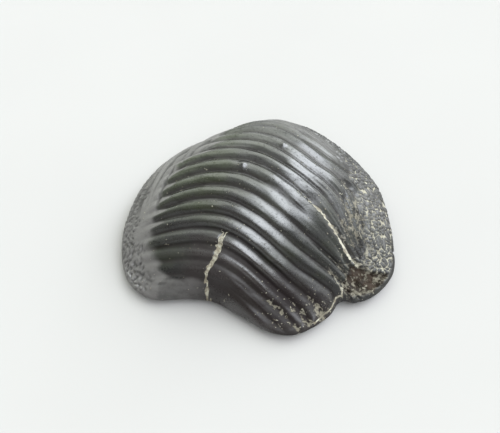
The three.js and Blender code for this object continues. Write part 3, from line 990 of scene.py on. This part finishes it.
# Painted sheen: this grey stands for worn enamel and for the reflection of the pale floor and sky.
colour = enamel.mix(wear_and_sheen_mark * (1.1 - 0.4 * clumps.step(0.42, 0.66)), colour, WEAR_AND_SHEEN_GREY)
colour = enamel.mix((belt_mark * joint.step(0.26, 0.1)).most(0.5 * pitted_mark), colour, BLACK)
colour = enamel.mix(broken_mark, colour, enamel.mix(soft_cloud.step(0.45, 0.6), CORE, RUST))
packed = enamel.mix(crumbs.step(0.4, 0.6).most(0.5 * belt_mark), TAN, CREAM)
colour = enamel.mix(sediment, colour, enamel.mix(loose, packed, LOOSE))
print("nodes so far:", len(enamel.tree.nodes))

# %% [markdown]
# ## Enamel: shine
#
# Two shaders share the surface: gloss is bare enamel, which bends light strongly, and film is the dull skin
# in the grooves. The polish mask mixes them, broken by flecks and scratches, so that a highlight lies on the
# crests alone and has a grain. Fine bumps from the same noise make its edge ragged.

# %% Enamel shine
roughness = 0.27 + 0.14 * (soft_cloud - 0.5) + 0.12 * (fine_grain - 0.5)
roughness = roughness + 0.15 * belt_mark + 0.4 * broken_mark
roughness = roughness + 0.12 * groove_mark * groove_mark + 0.1 * wear_and_sheen_mark
roughness = roughness + sediment * 0.55
grain = enamel.bump(fine_grain, 0.02 * MM, 0.35)
grain = enamel.bump(scratches, 0.04 * MM, 0.6, grain)
rubble = sediment + broken_mark + 0.3 * belt_mark + 0.2 * dust_mark
grain = enamel.bump(crumbs * rubble, 0.14 * MM, 0.7, grain)

gloss = enamel.shader({"Base Color": colour, "Roughness": roughness, "Normal": grain, "IOR": 1.8})
film = enamel.shader({"Base Color": colour, "Roughness": 0.6, "Normal": grain, "IOR": 1.22})
rubbed = polish_mark * (1.0 - 0.35 * flecks.step(0.56, 0.68) - 0.35 * scratches.step(0.52, 0.7))
blend = enamel.add("ShaderNodeMixShader", None, {"Fac": rubbed, 1: film, 2: gloss})
crown.data.materials.append(enamel.surface(Mark(enamel, blend.outputs[0])))
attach(crown, "root")
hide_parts("tooth")
print("enamel has", len(enamel.tree.nodes), "nodes in all")

# %% [markdown]
# ## Root bone
#
# The root is the same age and nearly the same colour, but it is bone: dull, brown-black, and full of pores
# that hold sediment. It uses the pores that were cut into its mesh, with finer ones from noise between them.

# %% Root bone
BONE_DARK = (0.022, 0.018, 0.015, 1)
BONE_LIGHT = (0.06, 0.048, 0.037, 1)
PORE_DARK = (0.012, 0.01, 0.009, 1)

bone_finish = Finish(bpy.data.materials.new("fossil_bone"))
pore_mark = bone_finish.mark("pore")
bone_cloud = bone_finish.noise(300, 4)
bone_grain = bone_finish.noise(2200, 4, 0.65)
bone_dust = (bone_grain * 0.6 + bone_cloud * 0.5 + pore_mark * 0.12).step(0.6, 0.72) * 0.75
bone_colour = bone_finish.mix(bone_cloud.step(0.3, 0.7), BONE_DARK, BONE_LIGHT)
bone_colour = bone_finish.mix(bone_dust, bone_colour, TAN)
bone_colour = bone_finish.mix(pore_mark * 0.75, bone_colour, PORE_DARK)
root.data.materials.append(bone_finish.surface(bone_finish.shader({
    "Base Color": bone_colour,
    "Roughness": 0.62 + 0.25 * bone_dust + 0.1 * (bone_grain - 0.5),
    "Normal": bone_finish.bump(bone_grain, 0.12 * MM, 0.6),
})))
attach(root, "root")
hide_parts("tooth")
print("bone has", len(bone_finish.tree.nodes), "nodes")

# %% [markdown]
# ## Floor
#
# The tooth lies on a plain pale floor. It is large enough that its edge never shows, and it reflects in the
# steep sides of the tooth, so its brightness matters as much as a lamp's.

# %% Floor
FLOOR_HALF = 40.0  # metres
FLOOR_DARK = (0.285, 0.278, 0.273, 1)
FLOOR_LIGHT = (0.305, 0.298, 0.293, 1)

corners = [(a * FLOOR_HALF, b * FLOOR_HALF, 0) for a, b in ((-1, -1), (1, -1), (1, 1), (-1, 1))]
floor_mesh = bpy.data.meshes.new("floor")
floor_mesh.from_pydata(corners, [], [(0, 1, 2, 3)])
floor = bpy.data.objects.new("floor", floor_mesh)
bpy.context.scene.collection.objects.link(floor)
floor_finish = Finish(bpy.data.materials.new("pale_floor"))
floor_cloud = floor_finish.noise(25, 2)
floor_mesh.materials.append(floor_finish.surface(floor_finish.shader({
    "Base Color": floor_finish.mix(floor_cloud, FLOOR_DARK, FLOOR_LIGHT),
    "Roughness": 0.9})))
print("floor", 2 * FLOOR_HALF, "m wide")

# %% [markdown]
# ## Light
#
# A black glossy thing shows hardly any colour of its own: nearly all that is seen is the room. Lamps would
# show in it as hard spots, so the room is painted by direction: each side has its own soft sky, paler low
# down, and at the horizon it takes the far floor's colour, so that the two meet unseen. Overhead is one long
# bright opening, which runs from the front to the back and widens there. Its left edge stands straight over
# the tooth, so crests that lean right catch it and those that lean left don't. Each edge is a plane through
# the tooth, so it is a dot product with a direction.

# %% Room
SKY_BACK = (2.0, 2.15, 1.87, 1)
SKY_OVERHEAD = (3.0, 3.15, 2.9, 1)
SKY_SIDE = (0.8, 0.82, 0.78, 1)
SKY_FRONT = (0.42, 0.39, 0.37, 1)
SKY_RIGHT = (0.75, 0.77, 0.76, 1)
SKY_BACK_RIGHT = (2.4, 2.45, 2.4, 1)
SKY_HORIZON = (2.6, 2.65, 2.6, 1)
SKY_LOW = (1.7, 1.76, 1.7, 1)
FAR_FLOOR = (0.92, 0.925, 0.92, 1)
OPENING = (8.6, 9.03, 9.55, 1)
OPENING_RIGHT = (0.752, -0.25, -0.609)  # square to the plane of the opening's right edge

room = Finish(bpy.data.worlds.new("room"), "Generated")


def toward(direction):
    """How far the direction looked at points that way: 1 straight at it, 0 across it, -1 away."""
    node = room.add("ShaderNodeVectorMath", {"operation": "DOT_PRODUCT"}, {0: room.place, 1: direction})
    return Mark(room, node.outputs["Value"])


across, back, height = toward((1, 0, 0)), toward((0, 1, 0)), toward((0, 0, 1))
opening = (across.step(0.03, 0.38) * toward(OPENING_RIGHT).step(0.09, -0.11)
           * back.step(-0.93, -0.76) * back.step(0.985, 0.86))
sky = room.mix(across.step(-0.85, -0.45), SKY_BACK, SKY_OVERHEAD)
sky = room.mix(back.step(-0.3, 0.3), SKY_SIDE, sky)
sky = room.mix(back.step(-0.5, -0.95), sky, SKY_FRONT)
sky = room.mix(across.step(0.45, 0.75), sky, room.mix(back.step(-0.2, 0.4), SKY_RIGHT, SKY_BACK_RIGHT))
sky = room.mix(height.step(0.25, 0.05) * back.step(-0.8, -0.3), sky, SKY_LOW)
sky = room.mix(height.step(0.35, 0.05) * back.step(0.2, 0.7), sky, SKY_HORIZON)
sky = room.mix(height.step(0.045, 0.02), sky, FAR_FLOOR)
sky = room.mix(opening, sky, OPENING)
glow = room.add("ShaderNodeBackground", None, {"Color": sky, "Strength": 1.0})
room.add("ShaderNodeOutputWorld", None, {"Surface": Mark(room, glow.outputs["Background"])})
bpy.context.scene.world = room.owner
bpy.context.scene.view_settings.view_transform = "Standard"
bpy.context.scene.view_settings.look = "None"
print("room has", len(room.tree.nodes), "nodes")
